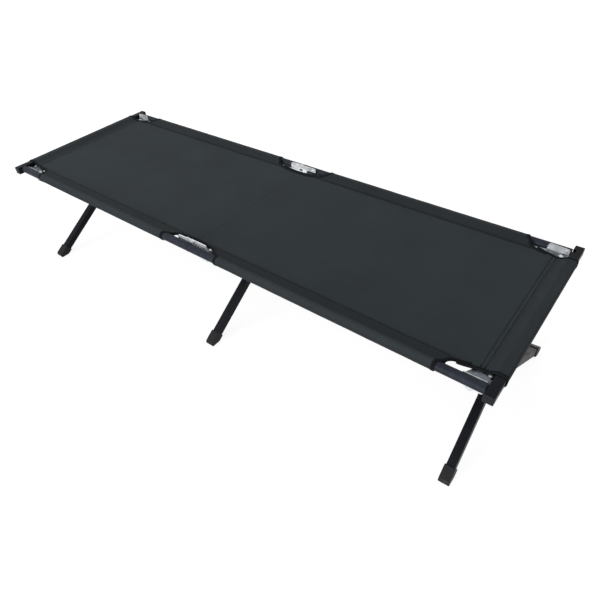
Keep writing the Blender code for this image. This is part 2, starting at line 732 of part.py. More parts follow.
def build():
    level = Matrix.Translation((0, 0, HINGE_Z))
    foot_near = axis_empty("frame_foot_near", Matrix.Identity(4))
    mid_b = leg_pair("mid", MID_PAIR_X, 0.0, (foot_near, None))
    foot_far = axis_empty("axis_foot_far", Matrix.Translation((MID_PAIR_X, PIN_Y, PIN_Z)), mid_b)
    holders = {
        ("foot", "near"): foot_near,
        ("head", "near"): axis_empty("axis_head_near", level, foot_near),
        ("foot", "far"): foot_far,
        ("head", "far"): axis_empty("axis_head_far", level, foot_far),
    }
    for (end_name, side_name), holder in holders.items():
        rail_set(end_name, side_name, holder)
    for side_name, side in SIDES.items():
        head, foot = holders["head", side_name], holders["foot", side_name]
        leg_x = MID_PAIR_X - side * PAIR_OFFSET
        reach = (-0.042, 0.0640) if side < 0 else (-0.034, 0.0590)
        hinge_leaf("hinge_leaf_" + side_name, side, reach[0] - 0.018, head)
        hinge_bracket("hinge_bracket_" + side_name, side, leg_x, *reach, foot)
        hinge_pin("hinge_pin_" + side_name, side, foot)
    for end_name, end in ENDS.items():
        near, far = holders[end_name, "near"], holders[end_name, "far"]
        frame = pair_frame(end * END_PAIR_X, end * END_RAKE)
        swivels = []
        for side_name, side, holder in (("near", -1, near), ("far", 1, far)):
            axis = axis_empty(f"axis_swivel_{end_name}_{side_name}", frame, holder)
            swivel(f"swivel_{end_name}_{side_name}", frame, -side * PAIR_OFFSET, side, axis)
            swivels.append(axis)
        leg_pair(end_name, end * END_PAIR_X, end * END_RAKE, swivels)
        bar_axis = axis_empty("axis_end_bar_" + end_name, Matrix.Translation((end * 0.928, -RAIL_Y, RAIL_Z)), near)
        end_bar("end_bar_" + end_name, end, bar_axis)
        for side_name, side in SIDES.items():
            bar_cap(f"bar_cap_{end_name}_{side_name}", end, side, bar_axis)
        bed_panel("bed_panel_" + end_name, end, near)
        end_sleeve("end_sleeve_" + end_name, end, near)


build()
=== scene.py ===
"""The looks of the folding camping cot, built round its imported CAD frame.

Metres, +Z up. X runs along the bed (head at -X), Y across it (near side at -Y), as in the CAD. An end is -1
at the head and 1 at the foot, a side -1 near and 1 far. The fabric, the hinge brackets, the near corner
brackets, the shelf bolts and the rings at the rails' split are made here. The rest of the metal and plastic
are the CAD's own solids with procedural materials.
"""

import json
import math

import bmesh
import bpy
import numpy as np
from mathutils import Euler, Matrix, Vector, noise


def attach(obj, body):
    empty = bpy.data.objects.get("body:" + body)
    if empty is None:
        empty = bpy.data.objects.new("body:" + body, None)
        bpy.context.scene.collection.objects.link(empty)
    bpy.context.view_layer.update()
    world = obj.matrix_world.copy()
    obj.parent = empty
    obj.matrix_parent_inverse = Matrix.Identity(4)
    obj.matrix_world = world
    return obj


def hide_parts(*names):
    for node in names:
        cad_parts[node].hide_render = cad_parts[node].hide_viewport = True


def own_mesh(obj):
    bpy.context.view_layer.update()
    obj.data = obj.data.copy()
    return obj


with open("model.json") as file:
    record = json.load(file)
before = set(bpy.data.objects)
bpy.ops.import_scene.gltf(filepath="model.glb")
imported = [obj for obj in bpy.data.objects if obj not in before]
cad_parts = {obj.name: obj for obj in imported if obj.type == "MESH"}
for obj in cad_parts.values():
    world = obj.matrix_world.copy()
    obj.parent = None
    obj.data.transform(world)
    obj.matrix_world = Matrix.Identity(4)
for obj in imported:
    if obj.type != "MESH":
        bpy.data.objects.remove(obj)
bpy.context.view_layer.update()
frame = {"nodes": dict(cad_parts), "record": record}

ENDS = {"head": -1, "foot": 1}
SIDES = {"near": -1, "far": 1}

# The frame, as the CAD has it
RAIL_Y = 0.2875
RAIL_Z = 0.4075
RAIL_R = 0.0125
BAR_INSIDE = 0.925
BAR_OUTSIDE = 0.950
BAR_TOP = 0.420
BAR_BOTTOM = 0.395
SEAM_Y = 0.245
SEAM_Z = 0.4105
END_SEAM_X = 0.891
SAG = 0.008
PIN_Y = 0.2545
PIN_Z = 0.372
HINGE_PIN_Z = 0.4225
MID_LEG_X = {-1: 0.035, 1: 0.006}
END_PIN_X = 0.8845

# The sheet: its thickness, its reach under the sleeves, how far it stands off its end bar and bends round it,
# the valley under each stitch row, the lap of its two halves, and its rise past the side seams
CLOTH = 0.0009
UNDER_SLEEVE = 0.2525
OVER_BAR = 0.0010
UNDER_BAR = 0.0016
PAST_BAR = 0.0012
TOP_BEND = 0.0042
LOW_BEND = 0.0036
FLAT_END = 0.902
STITCH_ROWS = (END_SEAM_X - 0.003, END_SEAM_X + 0.007)
VALLEY = 0.0009
VALLEY_WIDTH = 0.0020
LAP = 0.0020
LAP_DEPTH = 0.0006
LIP_SLOPE = 0.22

# The sheet's puckers: reach from a seam, height, and noise scale and seed. Those over its bar have no reach.
SIDE_PUCKER = (0.030, 0.00035, 60.0, 1.0)
END_PUCKER = (0.045, 0.00055, 42.0, 5.0)
BAR_PUCKER = (0.00035, 38.0, 9.0)

# The sleeves: a straight top layer, a wrap round the rail in degrees, and a straight lower layer. OUTER_POINT
# is the loop's first point past the rail's outermost side. SEAM_ROWS are rows of stitches. The top layer dips
# a little, and the wrap is loose under the rail, about LOOSE_AT degrees.
SLEEVE_R = 0.0137
SLEEVE_START = 0.112
SLEEVE_END = 0.806
SLEEVE_EDGE = SEAM_Y - 0.0005
SLEEVE_TOP = SEAM_Z + 0.0012
SLEEVE_LOW = SEAM_Z - 0.0022
TOP_POINTS = 24
WRAP_FROM = 103
WRAP_TO = -195
WRAP_POINTS = 40
OUTER_POINT = 38
ROUND_FROM_Y = RAIL_Y - 0.006
SLEEVE_DIP = 0.0007
SLEEVE_LOOSE = 0.0009
LOOSE_AT = -90
LOOSE_REACH = 70
SEAM_ROWS = (SEAM_Y + 0.0022, SEAM_Y + 0.0085)
TOP_NORMAL = (0.0, -0.22, 0.975)
LOW_NORMAL = (0.0, 0.1, -0.995)

# The sleeves' puckers: height and scale all over, reach, height and scale at the seam, and how they calm down
# near a mouth (over which share of the sleeve, how slowly, and how much of them stays)
SLEEVE_PUCKER = (0.00030, 26.0)
SLEEVE_SEAM_PUCKER = (0.012, 0.00045, 75.0)
CALM_SHARE = 0.03
CALM_PACE = 0.7
CALM_KEEP = 0.3

# The fabric's cut-outs: a round inner corner and a straight edge at each notch, a scallop at each hinge
MOUTH_Y = 0.2720
NOTCH_START = 0.820
NOTCH_R = 0.022
NOTCH_Y = 0.2535
NOTCH_SLOPE = 0.270
END_EDGE = 0.2395
SCALLOP_Y = {-1: 0.2520, 1: 0.2460}
SCALLOP_REACH = {-1: 0.084, 1: 0.100}
SCALLOP_CURVE = 2.0
BOUND_FROM_Y = 0.2460

# Binding tape and stitches; a stitch's raised top is shorter and narrower by STITCH_TAPER
TAPE_WIDTH = 0.0100
TAPE_T = 0.0026
TAPE_OVER_EDGE = 0.0010
TAPE_POINTS = 14
TAPE_STITCH = TAPE_WIDTH - 0.0030
TAPE_TUCK = 0.006
ROW_INSET = 0.004
END_ROW_INSET = 0.009
STITCH_PITCH = 0.0034
STITCH_GAP = 0.0004
STITCH_LENGTH = 0.0024
STITCH_WIDTH = 0.0007
END_STITCH_WIDTH = 0.0009
STITCH_RISE = 0.0004
STITCH_SINK = 0.0003
STITCH_TAPER = (0.22, 0.6)

# Sheet steel, given by its middle plane, and its rivets, washers and broken edges
PLATE_T = 0.0020
SHELF_T = 0.0016
SHELF_Z = 0.4053
RIVET_HEIGHT = 0.0016
WASHER_T = 0.0008
EDGE_BREAK = 0.00035

# Hinge brackets: the band across the split, the web down to the leg's ears, the shelf's slot, and the rivets
# as inset from the band's ends, height and radius
PLATE_Y = 0.2710
PLATE_TOP = 0.428
BAND_BOTTOM = 0.4130
BAND_LOW_R = 0.003
BAND_TOP_R = 0.006
LUG_BOTTOM = 0.4025
LEFT_ARCH_R = 0.0080
RIGHT_ARCH_R = 0.0085
LUG_R = 0.004
HINGE_REACH = {-1: (-0.039, 0.0600), 1: (-0.034, 0.0590)}
HINGE_HOLE_R = 0.0028
HINGE_RIVET = (0.012, 0.4205, 0.0034)
WEB = 0.0156
WEB_LEFT_TOP = 0.3940
WEB_RIGHT_TOP = 0.3960
WEB_LOW = PIN_Z - 0.011
WEB_CORNER = 0.003
SHELF_ROOT = 0.2706
SLOT_INBOARD = 0.0085
SLOT_R = 0.0026
EAR_T = 0.0020
EAR_R = 0.0095
EAR_X = 0.0138
PIN_HOLE_R = 0.0037

# Near corner brackets: the rivet as x, height and radius, the shelf as points (x, distance inboard)
END_PLATE_Y = 0.2737
END_PLATE_X = (0.8620, 0.9215)
END_PLATE_TOP = 0.4145
END_PLATE_R = 0.004
EYE_R = 0.0105
EYE_HOLE_R = 0.0044
END_RIVET = (0.8700, 0.4085, 0.0030)
END_SHELF = [(0.8600, 0.0), (0.9185, 0.0), (0.9190, 0.0250), (0.9150, 0.0330)]
END_SHELF_ARM = {
    "head": [(0.8900, 0.0330), (0.8640, 0.0230), (0.8300, 0.0140), (0.8240, 0.0100), (0.8240, 0.0015)],
    "foot": [(0.9090, 0.0340), (0.8810, 0.0340), (0.8790, 0.0310)]
    + [(0.8640, 0.0050), (0.8440, 0.0050), (0.8440, 0.0015)],
}

# Shelf bolts as x, y and radius, and the rings at the rails' split
SHELF_BOLT = {-1: (0.9160, 0.2462, 0.0040), 1: (0.9055, 0.2621, 0.0046)}
BOLT_HEIGHT = 0.0022
RING_X = 0.0027
RING_R = RAIL_R + 0.0005
RING_WIDTH = 0.0042

# Finishes: the band that holds most of a noise's values, the pitch of threads and ribs, where a sleeve's
# painted shade along its hem's fold ends and where its painted highlight over the rail lies, and where steel
# gets painted shade on low upward faces and painted shade lines for beads
NOISE_BAND = (0.3, 0.7)
WEAVE_PITCH = 0.0011
RIB_PITCH = 0.0012
HEM_SHADE_FADE = (0.007, 0.010)
HIGHLIGHT_START = (0.037, 0.041)
HIGHLIGHT_FADE = (0.043, 0.066)
CLOTH_SPECULAR = 0.08
STEEL_TONES = ((236, 238, 240), (198, 202, 206))
SHELF_FACES = (0.4085, 0.4100)
BEAD_SHADE_HEIGHTS = (0.4145, 0.4215)
BEAD_SHADE_EDGE = (0.0011, 0.0018)
CORNER_SHADE_FROM = 0.862
HINGE_SHADE_FROM = 0.0205


def srgb(*values):
    """A linear colour from red, green and blue of 0 to 255."""
    parts = [value / 255 for value in values]
    return (*[c / 12.92 if c <= 0.04045 else ((c + 0.055) / 1.055) ** 2.4 for c in parts], 1.0)


class Nodes:
    """Short calls for building the node tree of a material or the world."""

    def __init__(self, owner):
        owner.use_nodes = True
        self.owner = owner
        self.tree = owner.node_tree

    def feed(self, socket, item):
        """Sets a socket to a plain value, or links it to another node's output."""
        if isinstance(item, (int, float, tuple)):
            socket.default_value = item
        else:
            self.tree.links.new(item, socket)

    def add(self, kind, inputs=None, **settings):
        """A new node; inputs holds a value or an output for each socket, by its name or number."""
        node = self.tree.nodes.new(kind)
        for key, value in settings.items():
            setattr(node, key, value)
        for key, item in (inputs or {}).items():
            self.feed(node.inputs[key], item)
        return node

    def math(self, operation, *items):
        """The result of one operation on one to three values."""
        return self.add("ShaderNodeMath", dict(enumerate(items)), operation=operation).outputs[0]

    def times(self, product, *others):
        """The product of all these values."""
        for item in others:
            product = self.math("MULTIPLY", product, item)
        return product

    def noise(self, vector, scale, detail=3.0, roughness=0.5):
        inputs = {"Vector": vector, "Scale": scale, "Detail": detail, "Roughness": roughness}
        return self.add("ShaderNodeTexNoise", inputs).outputs["Fac"]

    def remap(self, value, low, high, to_low=0.0, to_high=1.0):
        """The value, taken evenly from low..high to to_low..to_high and held at both."""
        inputs = {"Value": value, "From Min": low, "From Max": high, "To Min": to_low, "To Max": to_high}
        return self.add("ShaderNodeMapRange", inputs).outputs["Result"]

    def mix(self, factor, first, second):
        return self.add("ShaderNodeMix", {0: factor, 6: first, 7: second}, data_type="RGBA").outputs[2]

    def bump(self, height, strength, distance):
        inputs = {"Height": height, "Strength": strength, "Distance": distance}
        return self.add("ShaderNodeBump", inputs).outputs["Normal"]

    def place(self, kind="Object"):
        """The place on the object in metres, or another kind of coordinate."""
        return self.add("ShaderNodeTexCoord").outputs[kind]

    def split(self, vector):
        """The x, y and z of a vector."""
        return self.add("ShaderNodeSeparateXYZ", {0: vector}).outputs

    def cloth_place(self):
        """(across, along) in metres, from the cloth's own map."""
        across, along, _ = self.split(self.place("UV"))
        return across, along

    def seen(self):
        """1 for a ray that looks, straight or by a mirror or clear thing, and 0 for one that lights."""
        rays = self.add("ShaderNodeLightPath").outputs
        looks = self.math("MAXIMUM", rays["Is Camera Ray"], rays["Is Glossy Ray"])
        return self.math("MAXIMUM", looks, rays["Is Transmission Ray"])

    def shaded(self, inputs, shader="Principled BSDF"):
        """The tree's owner, with these inputs of its shader set or linked."""
        for key, item in inputs.items():
            self.feed(self.tree.nodes[shader].inputs[key], item)
        return self.owner


def new_material(name):
    return Nodes(bpy.data.materials.new(name))


def weave(nodes):
    """A plain weave: how high each thread stands as it passes over the others, and the holes between them."""
    turns = [nodes.math("MULTIPLY", place, math.pi / WEAVE_PITCH) for place in nodes.cloth_place()]
    crossing = nodes.times(*[nodes.math("SINE", turn) for turn in turns])
    holes = nodes.times(*[nodes.math("ABSOLUTE", nodes.math("COSINE", turn)) for turn in turns])
    return nodes.math("MULTIPLY_ADD", crossing, 0.5, 0.5), holes


def cloth_material(name, light, dark, outer_highlight=None):
    """Plain woven polyester. A sleeve's cloth gets a painted highlight, paler by the given factor where it
    turns over the rail, for the light on its outer face, and painted shade along the fold at its side seam.
    """
    nodes = new_material(name)
    where = nodes.place()
    over, holes = weave(nodes)
    clouds = nodes.remap(nodes.noise(where, 5.0, 4.0, 0.55), *NOISE_BAND)
    fibres = nodes.noise(where, 900.0, 2.0, 0.6)
    shades = [
        nodes.remap(over, 0.0, 1.0, 0.72, 1.18),
        nodes.remap(holes, 0.55, 1.0, 1.0, 0.35),
        nodes.remap(fibres, *NOISE_BAND, 0.9, 1.1),
    ]
    if outer_highlight is not None:
        across, _ = nodes.cloth_place()
        # Painted shade along the fold at the side seam: the cloth is darker over its first 7 mm across
        shades.append(nodes.remap(across, *HEM_SHADE_FADE, 0.6, 1.0))
        # Painted highlight: the sleeve is painted paler where it turns over the rail, where light falls on
        # its outer face, and a little darker beyond, round its underside
        shades.append(nodes.remap(across, *HIGHLIGHT_START, 1.0, outer_highlight))
        shades.append(nodes.remap(across, *HIGHLIGHT_FADE, 1.0, 0.92 / outer_highlight))
    shaded = {0: nodes.mix(clouds, dark, light), "Scale": nodes.times(*shades)}
    height = nodes.math("SUBTRACT", over, nodes.remap(holes, 0.5, 1.0))
    inputs = {
        "Base Color": nodes.add("ShaderNodeVectorMath", shaded, operation="SCALE").outputs[0],
        "Roughness": nodes.remap(fibres, *NOISE_BAND, 0.76, 0.88),
        "Sheen Weight": 0.04,
        "Sheen Roughness": 0.45,
        "Specular IOR Level": CLOTH_SPECULAR,
        "Normal": nodes.bump(height, 0.45, 0.00025),
    }
    return nodes.shaded(inputs)


def tape_material():
    """Ribbed binding tape."""
    nodes = new_material("binding_tape")
    _, along = nodes.cloth_place()
    ribs = nodes.math("SINE", nodes.math("MULTIPLY", along, 2 * math.pi / RIB_PITCH))
    fibres = nodes.remap(nodes.noise(nodes.place(), 700.0, 2.0), *NOISE_BAND)
    inputs = {
        "Base Color": nodes.mix(fibres, srgb(12, 14, 17), srgb(20, 23, 26)),
        "Roughness": 0.78,
        "Specular IOR Level": CLOTH_SPECULAR,
        "Normal": nodes.bump(ribs, 0.35, 0.0002),
    }
    return nodes.shaded(inputs)


def thread_material():
    """Twisted sewing thread."""
    nodes = new_material("sewing_thread")
    twist = nodes.noise(nodes.place(), 1500.0, 1.0)
    inputs = {
        "Base Color": nodes.mix(nodes.remap(twist, *NOISE_BAND), srgb(26, 29, 32), srgb(44, 48, 52)),
        "Roughness": 0.6,
        "Normal": nodes.bump(twist, 0.3, 0.0002),
    }
    return nodes.shaded(inputs)


def paint_material(name, colour, worn, roughness, specular):
    """Satin powder coat: fine orange peel, a little dust, and rubbed patches along sharp outer edges."""
    nodes = new_material(name)
    where = nodes.place()
    clouds = nodes.noise(where, 14.0, 4.0)
    peel = nodes.noise(where, 750.0, 2.0)
    sharp = nodes.remap(nodes.add("ShaderNodeNewGeometry").outputs["Pointiness"], 0.56, 0.66)
    wear = nodes.times(sharp, nodes.remap(nodes.noise(where, 60.0), 0.45, 0.65), 0.6)
    dusty = nodes.mix(nodes.remap(clouds, 0.35, 0.65, 0.0, 0.35), colour, worn)
    inputs = {
        "Base Color": nodes.mix(wear, dusty, worn),
        "Roughness": nodes.remap(clouds, *NOISE_BAND, roughness - 0.06, roughness + 0.08),
        "Specular IOR Level": specular,
        "Normal": nodes.bump(peel, 0.18, 0.0002),
    }
    return nodes.shaded(inputs)


def steel_material(name, painted_shade_level, painted_shade_from=None, both_ends=True, bead_shade_lines=(), shade=1.0):
    """Zinc plated sheet: soft spangle, fine rolling lines, and patches of painted shade and dark reflection.

    Upward faces below the shelves' height get painted shade, as strong as the second argument gives, for the
    shade and dark reflection that the shelves sit in under the fabric. Where the third argument is given,
    this starts there along X, towards both ends or only towards the foot. The beads are thin lines of painted
    shade at these heights, for the shaded grooves of pressed beads, on the faces that look away from the bed.
    shade scales the bright tones; the corner and hinge copies use it to paint the plates' reflections darker
    and brighter.
    """
    nodes = new_material(name)
    where = nodes.place()
    x, y, z = nodes.split(where)
    _, face_y, face_z = nodes.split(nodes.place("Normal"))
    stretched = nodes.add("ShaderNodeMapping", {"Vector": where, "Scale": (30.0, 900.0, 900.0)}).outputs[0]
    lines = nodes.noise(stretched, 1.0, 2.0)
    spangle = nodes.add("ShaderNodeTexVoronoi", {"Vector": where, "Scale": 260.0}).outputs["Color"]
    cell, _, _ = nodes.split(spangle)
    bright, grey = (tuple(part * shade for part in srgb(*tone)) for tone in STEEL_TONES)
    plated = nodes.mix(nodes.remap(nodes.noise(where, 45.0, 4.0), 0.35, 0.7), bright, grey)
    # Painted shade and dark reflection: the greys and blotches that low upward faces turn to
    shade_blotches = nodes.remap(nodes.noise(where, 90.0, 4.0), 0.40, 0.62)
    painted_shade_grey = nodes.mix(shade_blotches, srgb(58, 64, 72), srgb(112, 120, 130))
    # Painted shade mask: upward faces, past the given place along X where one is given, and below the
    # shelves' height
    level = nodes.remap(face_z, 0.75, 0.95, 0.0, painted_shade_level)
    if painted_shade_from is not None:
        along = nodes.math("ABSOLUTE", x) if both_ends else x
        level = nodes.times(level, nodes.remap(along, painted_shade_from, painted_shade_from + 0.002))
    level = nodes.times(level, nodes.remap(z, *SHELF_FACES, 1.0, 0.0))
    # Painted shade lines for the grooves of pressed beads, on the faces that look away from the bed
    outward = nodes.remap(nodes.times(face_y, nodes.math("SIGN", y)), 0.5, 0.8)
    for bead_shade_z in bead_shade_lines:
        away = nodes.math("ABSOLUTE", nodes.math("SUBTRACT", z, bead_shade_z))
        level = nodes.math("MAXIMUM", level, nodes.times(nodes.remap(away, *BEAD_SHADE_EDGE, 0.95, 0.0), outward))
    roughness = nodes.remap(cell, 0.0, 1.0, 0.34, 0.44)
    inputs = {
        "Base Color": nodes.mix(level, plated, painted_shade_grey),
        "Metallic": nodes.remap(level, 0.0, 1.0, 0.5, 0.1),
        "Roughness": nodes.math("ADD", roughness, nodes.remap(lines, *NOISE_BAND, 0.0, 0.08)),
        "Normal": nodes.bump(lines, 0.12, 0.0001),
    }
    return nodes.shaded(inputs)


def plastic_material():
    """Moulded black plastic with a fine spark texture."""
    nodes = new_material("moulded_black_plastic")
    where = nodes.place()
    grain = nodes.noise(where, 1300.0, 2.0)
    scuffs = nodes.noise(where, 40.0, 5.0, 0.6)
    inputs = {
        "Base Color": nodes.mix(nodes.remap(scuffs, 0.5, 0.75), srgb(9, 11, 14), srgb(22, 24, 28)),
        "Roughness": nodes.remap(scuffs, *NOISE_BAND, 0.46, 0.62),
        "Specular IOR Level": 0.2,
        "Normal": nodes.bump(grain, 0.2, 0.00015),
    }
    return nodes.shaded(inputs)


SHEET_CLOTH = cloth_material("sheet_cloth", srgb(58, 65, 68), srgb(53, 59, 62))
SLEEVE_CLOTH = cloth_material("sleeve_cloth", srgb(50, 54, 57), srgb(44, 49, 52), outer_highlight=1.5)
END_CLOTH = cloth_material("end_cloth", srgb(56, 61, 64), srgb(50, 55, 58))
TAPE = tape_material()
THREAD = thread_material()
RAIL_PAINT = paint_material("rail_paint_satin", srgb(25, 29, 38), srgb(50, 55, 65), 0.50, 0.13)
LEG_PAINT = paint_material("leg_paint_satin", srgb(6, 8, 13), srgb(30, 33, 40), 0.45, 0.09)
STEEL = steel_material("zinc_plated_steel", 0.15)
# Painted reflection: the corner copy of the steel is made darker and the hinge copy brighter, for the
# reflections these plates show
CORNER_STEEL = steel_material("zinc_plated_steel_corner", 0.95, CORNER_SHADE_FROM, shade=0.85)
HINGE_STEEL = steel_material(
    "zinc_plated_steel_hinge", 0.95, HINGE_SHADE_FROM, both_ends=False, bead_shade_lines=BEAD_SHADE_HEIGHTS, shade=1.08
)
PLASTIC = plastic_material()

# The CAD nodes' finishes by material slot, and those of the brackets and hinge leaves by name
SLOT_FINISHES = {
    "rail_paint": RAIL_PAINT,
    "leg_paint": LEG_PAINT,
    "bright_steel": STEEL,
    "black_plastic": PLASTIC,
}
NODE_FINISHES = {f"end_bracket_{end}_{side}": CORNER_STEEL for end in ENDS for side in SIDES}
NODE_FINISHES.update({f"hinge_leaf_{side}": HINGE_STEEL for side in SIDES})


def dress_cad_nodes():
    """Gives each rigid CAD node its finish; the cloth's solids are replaced."""
    for entry in frame["record"]["subparts"]:
        finish = SLOT_FINISHES.get(entry["material_slot"])
        if finish is None:
            continue
        node = frame["nodes"][entry["node"]]
        node.data.materials.clear()
        node.data.materials.append(NODE_FINISHES.get(entry["node"], finish))


def polar(centre, radius, angle):
    """The point round a centre at this angle in degrees."""
    turn = math.radians(angle)
    return centre[0] + radius * math.cos(turn), centre[1] + radius * math.sin(turn)


def arc(centre, radius, start, end, steps):
    """Points on an arc, angles in degrees."""
    return [polar(centre, radius, angle) for angle in np.linspace(start, end, steps + 1)]


def circle(centre, radius):
    """The points of a round hole."""
    return arc(centre, radius, 0, 340, 17)


def placed(name, data):
    """A new object in the scene."""
    made = bpy.data.objects.new(name, data)
    bpy.context.scene.collection.objects.link(made)
    return made


def sheet_metal(bm, loops, thickness, where):
    """Adds a flat sheet to bm: an outline and any holes in it, thickened evenly about its own plane."""
    curve = bpy.data.curves.new("outline", "CURVE")
    curve.dimensions = "2D"
    curve.fill_mode = "BOTH"
    curve.extrude = thickness / 2
    for loop in loops:
        spline = curve.splines.new("POLY")
        spline.points.add(len(loop) - 1)
        spline.use_cyclic_u = True
        for point, (a, b) in zip(spline.points, loop):
            point.co = (a, b, 0.0, 1.0)
    guide = placed("outline", curve)
    bpy.context.view_layer.update()
    flat = bpy.data.meshes.new_from_object(guide.evaluated_get(bpy.context.evaluated_depsgraph_get()))
    bpy.data.objects.remove(guide, do_unlink=True)
    bpy.data.curves.remove(curve)
    flat.transform(where)
    piece = bmesh.new()
    piece.from_mesh(flat)
    bmesh.ops.remove_doubles(piece, verts=piece.verts, dist=1e-5)
    bmesh.ops.recalc_face_normals(piece, faces=piece.faces)
    piece.to_mesh(flat)
    piece.free()
    bm.from_mesh(flat)
    bpy.data.meshes.remove(flat)


def plate(bm, loops, side, y):
    """Adds an upright plate; its loops hold (x, z)."""
    sheet_metal(bm, loops, PLATE_T, Matrix(((1, 0, 0, 0), (0, 0, -1, side * y), (0, 1, 0, 0), (0, 0, 0, 1))))


def shelf(bm, loops, side, root):
    """Adds a lying shelf; its loops hold (x, distance inboard of its root)."""
    loops = [[(x, side * (root - inboard)) for x, inboard in loop] for loop in loops]
    sheet_metal(bm, loops, SHELF_T, Matrix.Translation((0, 0, SHELF_Z)))


def dome(bm, centre, radius, height, turn=None):
    """Adds a low rivet or bolt head with a thin washer under it."""
    place = Matrix.Translation(centre) @ (turn or Matrix.Identity(4))
    head = place @ Matrix.Diagonal((1, 1, height / radius, 1))
    bmesh.ops.create_uvsphere(bm, u_segments=20, v_segments=10, radius=radius, matrix=head)
    bmesh.ops.create_cone(
        bm,
        cap_ends=True,
        segments=24,
        radius1=radius * 1.35,
        radius2=radius * 1.25,
        depth=WASHER_T,
        matrix=place @ Matrix.Translation((0, 0, WASHER_T / 2)),
    )


def rivet(bm, x, y, z, radius, side):
    """Adds a rivet head to the inner face of the plate at y."""
    inward = Matrix.Rotation(side * math.pi / 2, 4, "X")
    dome(bm, (x, side * (y - PLATE_T / 2), z), radius, RIVET_HEIGHT, inward)


def finished_solid(name, bm, body, finish):
    """Turns bm into a riding piece with softly broken edges."""
    mesh = bpy.data.meshes.new(name)
    bm.to_mesh(mesh)
    bm.free()
    mesh.materials.append(finish)
    made = placed(name, mesh)
    edges = made.modifiers.new("edges", "BEVEL")
    edges.width = EDGE_BREAK
    edges.segments = 2
    edges.limit_method = "ANGLE"
    edges.angle_limit = math.radians(45)
    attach(made, body)
    return made


def hinge_plate_outline(x0, x1, leg_x, side):
    """The band across the split and the web that runs down from it to the leg's ears.

    The band meets the web in an arch towards the foot. Towards the head it does so in another arch on the far
    side and in a lug on the near side.
    """
    left, right = leg_x - WEB, leg_x + WEB
    if side > 0:
        outline = arc((left + 0.0030, BAND_BOTTOM - LEFT_ARCH_R), LEFT_ARCH_R, 0, 90, 6)
        outline += arc((x0 + BAND_LOW_R, BAND_BOTTOM + BAND_LOW_R), BAND_LOW_R, 270, 180, 4)
        outline += arc((x0 + BAND_TOP_R, PLATE_TOP - BAND_TOP_R), BAND_TOP_R, 180, 90, 5)
    else:
        outline = arc((left - LUG_R, LUG_BOTTOM - LUG_R), LUG_R, 0, 90, 4)
        outline += [(x0 + 0.002, LUG_BOTTOM), (x0, LUG_BOTTOM + 0.002), (x0 + 0.004, LUG_BOTTOM + 0.0125)]
        outline += arc((x0 + 0.020, PLATE_TOP - 0.008), 0.008, 140, 90, 4)
    outline += arc((x1 - BAND_TOP_R, PLATE_TOP - BAND_TOP_R), BAND_TOP_R, 90, 0, 5)
    outline += arc((x1 - BAND_LOW_R, BAND_BOTTOM + BAND_LOW_R), BAND_LOW_R, 0, -90, 4)
    outline += arc((right + 0.0060, BAND_BOTTOM - RIGHT_ARCH_R), RIGHT_ARCH_R, 90, 180, 6)
    outline += [(right - 0.0025, WEB_RIGHT_TOP + 0.0030), (right, WEB_RIGHT_TOP)]
    outline += [(right, WEB_LOW + WEB_CORNER), (right - WEB_CORNER, WEB_LOW)]
    outline += [(left + WEB_CORNER, WEB_LOW), (left, WEB_LOW + WEB_CORNER)]
    return outline + [(left, WEB_LEFT_TOP)]


def hinge_shelf_outline(x0, x1, leg_x):
    """The shelf beside the leg and its narrow arm: (x, distance inboard) points."""
    left, right = leg_x - WEB, leg_x + WEB
    outline = [(left, 0.0), (x1 - 0.0045, 0.0), (x1 - 0.0010, 0.0080), (x1 - 0.0040, 0.0150)]
    outline += [(max(right + 0.008, x1 - 0.020), 0.0225), (right - 0.003, 0.0235), (left, 0.0235)]
    outline += [(left, 0.0160), (x0 - 0.006, 0.0150), (x0 - 0.030, 0.0085), (x0 - 0.035, 0.0040)]
    outline += [(x0 - 0.033, 0.0030), (x0 - 0.028, 0.0050), (x0 - 0.004, 0.0100)]
    return outline + [(left, 0.0110)]


def hinge_bracket(side_name):
    """The pressed steel bracket across a rail's split: plate, shelf, two ears and two rivets."""
    side = SIDES[side_name]
    (x0, x1), leg_x = HINGE_REACH[side], MID_LEG_X[side]
    bm = bmesh.new()
    pin_hole = circle((0.0, HINGE_PIN_Z), HINGE_HOLE_R)
    plate(bm, [hinge_plate_outline(x0, x1, leg_x, side), pin_hole], side, PLATE_Y)
    loops = [hinge_shelf_outline(x0, x1, leg_x)]
    slot_from, slot_to = leg_x + WEB + 0.007, x1 - 0.010
    if slot_to > slot_from:
        slot = arc((slot_to, SLOT_INBOARD), SLOT_R, -90, 90, 6)
        loops.append(slot + arc((slot_from, SLOT_INBOARD), SLOT_R, 90, 270, 6))
    shelf(bm, loops, side, SHELF_ROOT)
    ear = arc((PIN_Y, PIN_Z), EAR_R, 90, 270, 12)
    ear += [(PLATE_Y, PIN_Z - EAR_R), (PLATE_Y, PIN_Z + EAR_R)]
    loops = [[(side * y, z) for y, z in ear], circle((side * PIN_Y, PIN_Z), PIN_HOLE_R)]
    for x in (leg_x - EAR_X, leg_x + EAR_X):
        sheet_metal(bm, loops, EAR_T, Matrix(((0, 0, 1, x), (1, 0, 0, 0), (0, 1, 0, 0), (0, 0, 0, 1))))
    inset, z, radius = HINGE_RIVET
    for x in (x0 + inset, x1 - inset):
        rivet(bm, x, PLATE_Y, z, radius, side)
    made = finished_solid(f"hinge_plate_{side_name}", bm, f"foot_{side_name}_rail", HINGE_STEEL)
    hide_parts(f"hinge_bracket_{side_name}")


